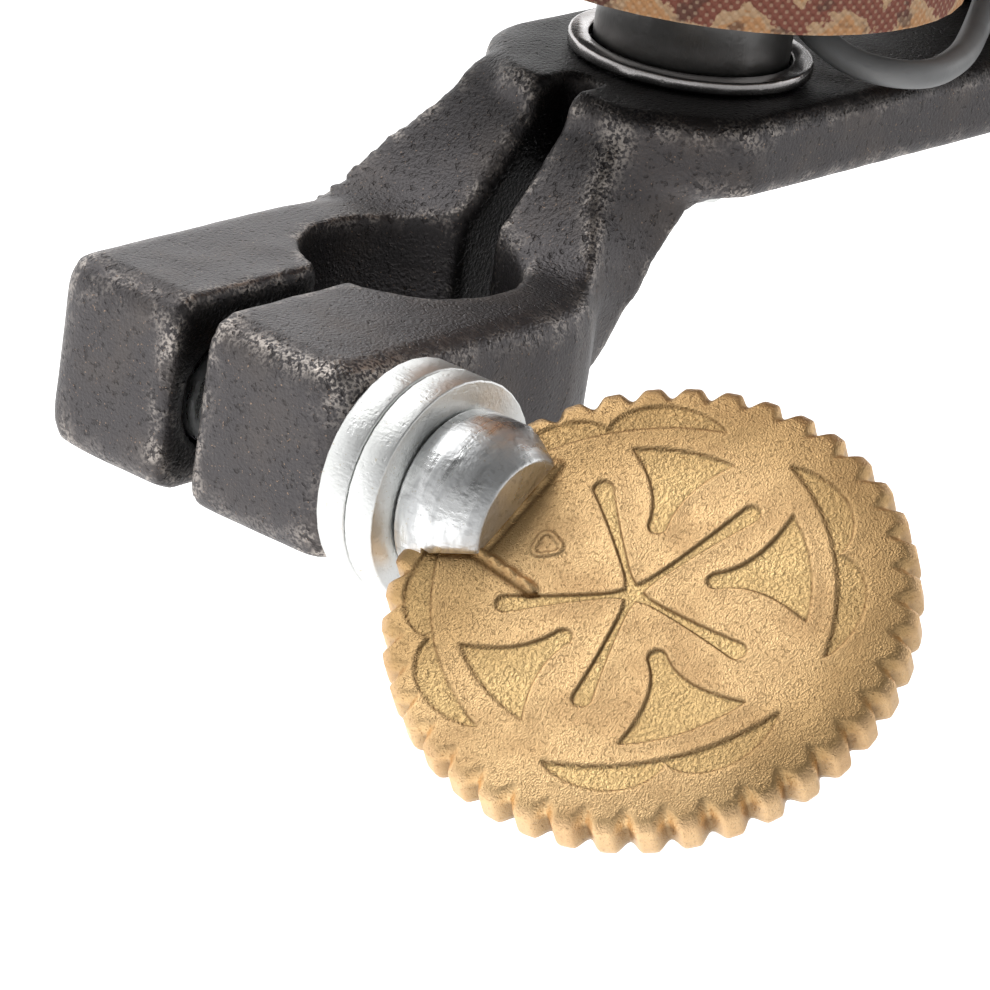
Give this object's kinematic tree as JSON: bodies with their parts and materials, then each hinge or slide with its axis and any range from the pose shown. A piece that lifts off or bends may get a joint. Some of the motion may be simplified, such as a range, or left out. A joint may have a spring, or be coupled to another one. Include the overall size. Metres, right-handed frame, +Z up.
{
  "type": "coil machine",
  "caption": "Electromagnetic coil machine: cast frame with split tube vise and toothed-disc thumbscrew, wrapped coils, sprung armature, contact screw and binding posts.",
  "frame": {"origin": "on the axis of the tube vise's bore, level with the top of its jaws", "axes": "+Z up the bore towards the coils' tops, +X towards the thumbscrew's disc, -Y towards the front of the vise"},
  "size_m": [0.0439, 0.0856, 0.0859],
  "materials": {
    "cast_iron": "rough dark brown-grey casting, worn bright on the edges",
    "zinc": "zinc plated, fine grit",
    "antique_brass": "antiqued, matte grain, dark in the recesses",
    "dark_steel": "dark satin steel",
    "bright_steel": "bright turned steel",
    "spring_steel": "blued spring steel",
    "brass": "turned brass, light polish",
    "copper": "enamelled copper wire",
    "fibre": "black vulcanised fibre",
    "nylon": "off-white nylon",
    "cloth": "printed woven wrap in tan, orange and burgundy",
    "sleeve": "matte dark grey sleeve",
    "can": "dark shrink sleeve over an aluminium can"
  },
  "bodies": {
    "frame": {"frame_casting": "cast_iron", "front_coil_core": "dark_steel", "front_coil_shim_ring": "bright_steel", "front_coil_flange_lower": "fibre", "front_coil_winding": "copper", "front_coil_flange_upper": "fibre", "front_coil_wrap": "cloth", "front_coil_core_screw": "zinc", "rear_coil_core": "dark_steel", "rear_coil_shim_ring": "bright_steel", "rear_coil_flange_lower": "fibre", "rear_coil_winding": "copper", "rear_coil_flange_upper": "fibre", "rear_coil_wrap": "cloth", "rear_coil_core_screw": "zinc", "spring_clamp_washer": "zinc", "spring_clamp_screw": "zinc", "front_post": "brass", "front_post_bush_inner": "nylon", "front_post_bush_outer": "nylon", "front_post_nut": "zinc", "front_post_lug": "bright_steel", "rear_post_upper": "brass", "rear_post_upper_nut": "zinc", "rear_post_lower": "brass", "rear_post_lower_nut": "zinc", "rear_post_lower_bush_outer": "nylon", "rear_post_lower_bush_inner": "nylon", "rear_post_lower_lug": "bright_steel", "coil_link_lead": "sleeve", "front_coil_lead": "sleeve", "rear_coil_lead": "sleeve", "capacitor": "can"},
    "vise_washers": {"vise_washer_inner": "zinc", "vise_washer_outer": "zinc"},
    "thumbscrew": {"vise_screw": "zinc", "thumb_disc": "antique_brass"},
    "armature": {"armature_bar": "dark_steel", "rear_spring": "spring_steel", "front_spring": "spring_steel", "armature_washer": "zinc", "armature_screw": "zinc"},
    "contact_tip": {"contact_tip": "bright_steel"},
    "contact_screw": {"contact_screw": "brass"},
    "clamp_knob": {"contact_clamp_knob": "brass"}
  },
  "joints": [
    {"name": "vise_screw_travel", "type": "slide", "parent": "frame", "child": "vise_washers", "axis": [1, 0, 0], "range_m": [0, 0.00158]},
    {"name": "vise_screw_turn", "type": "hinge", "parent": "vise_washers", "child": "thumbscrew", "pos_m": [0.0071, -0.00822, -0.00414], "axis": [1, 0, 0], "range_deg": [0, 720]},
    {"name": "armature_pull", "type": "hinge", "parent": "frame", "child": "armature", "pos_m": [0, 0.04868, 0.04505], "axis": [1, 0, 0], "range_deg": [0, 2.3], "stiffness_Nm_per_rad": 0.5, "springref_deg": -2.86},
    {"name": "contact_screw_travel", "type": "slide", "parent": "frame", "child": "contact_tip", "axis": [0, 0, 1], "range_m": [0, 0.0014]},
    {"name": "contact_screw_turn", "type": "hinge", "parent": "contact_tip", "child": "contact_screw", "pos_m": [0, 0.0186, 0.06], "axis": [0, 0, 1], "range_deg": [0, 720]},
    {"name": "clamp_knob_turn", "type": "hinge", "parent": "frame", "child": "clamp_knob", "pos_m": [0.009, 0.0186, 0.06006], "axis": [1, 0, 0], "range_deg": [0, 90]}
  ],
  "couplings": [
    {"joint": "vise_screw_turn", "follows": "vise_screw_travel", "rad_per_m": 7953},
    {"joint": "contact_screw_turn", "follows": "contact_screw_travel", "rad_per_m": 8975}
  ]
}
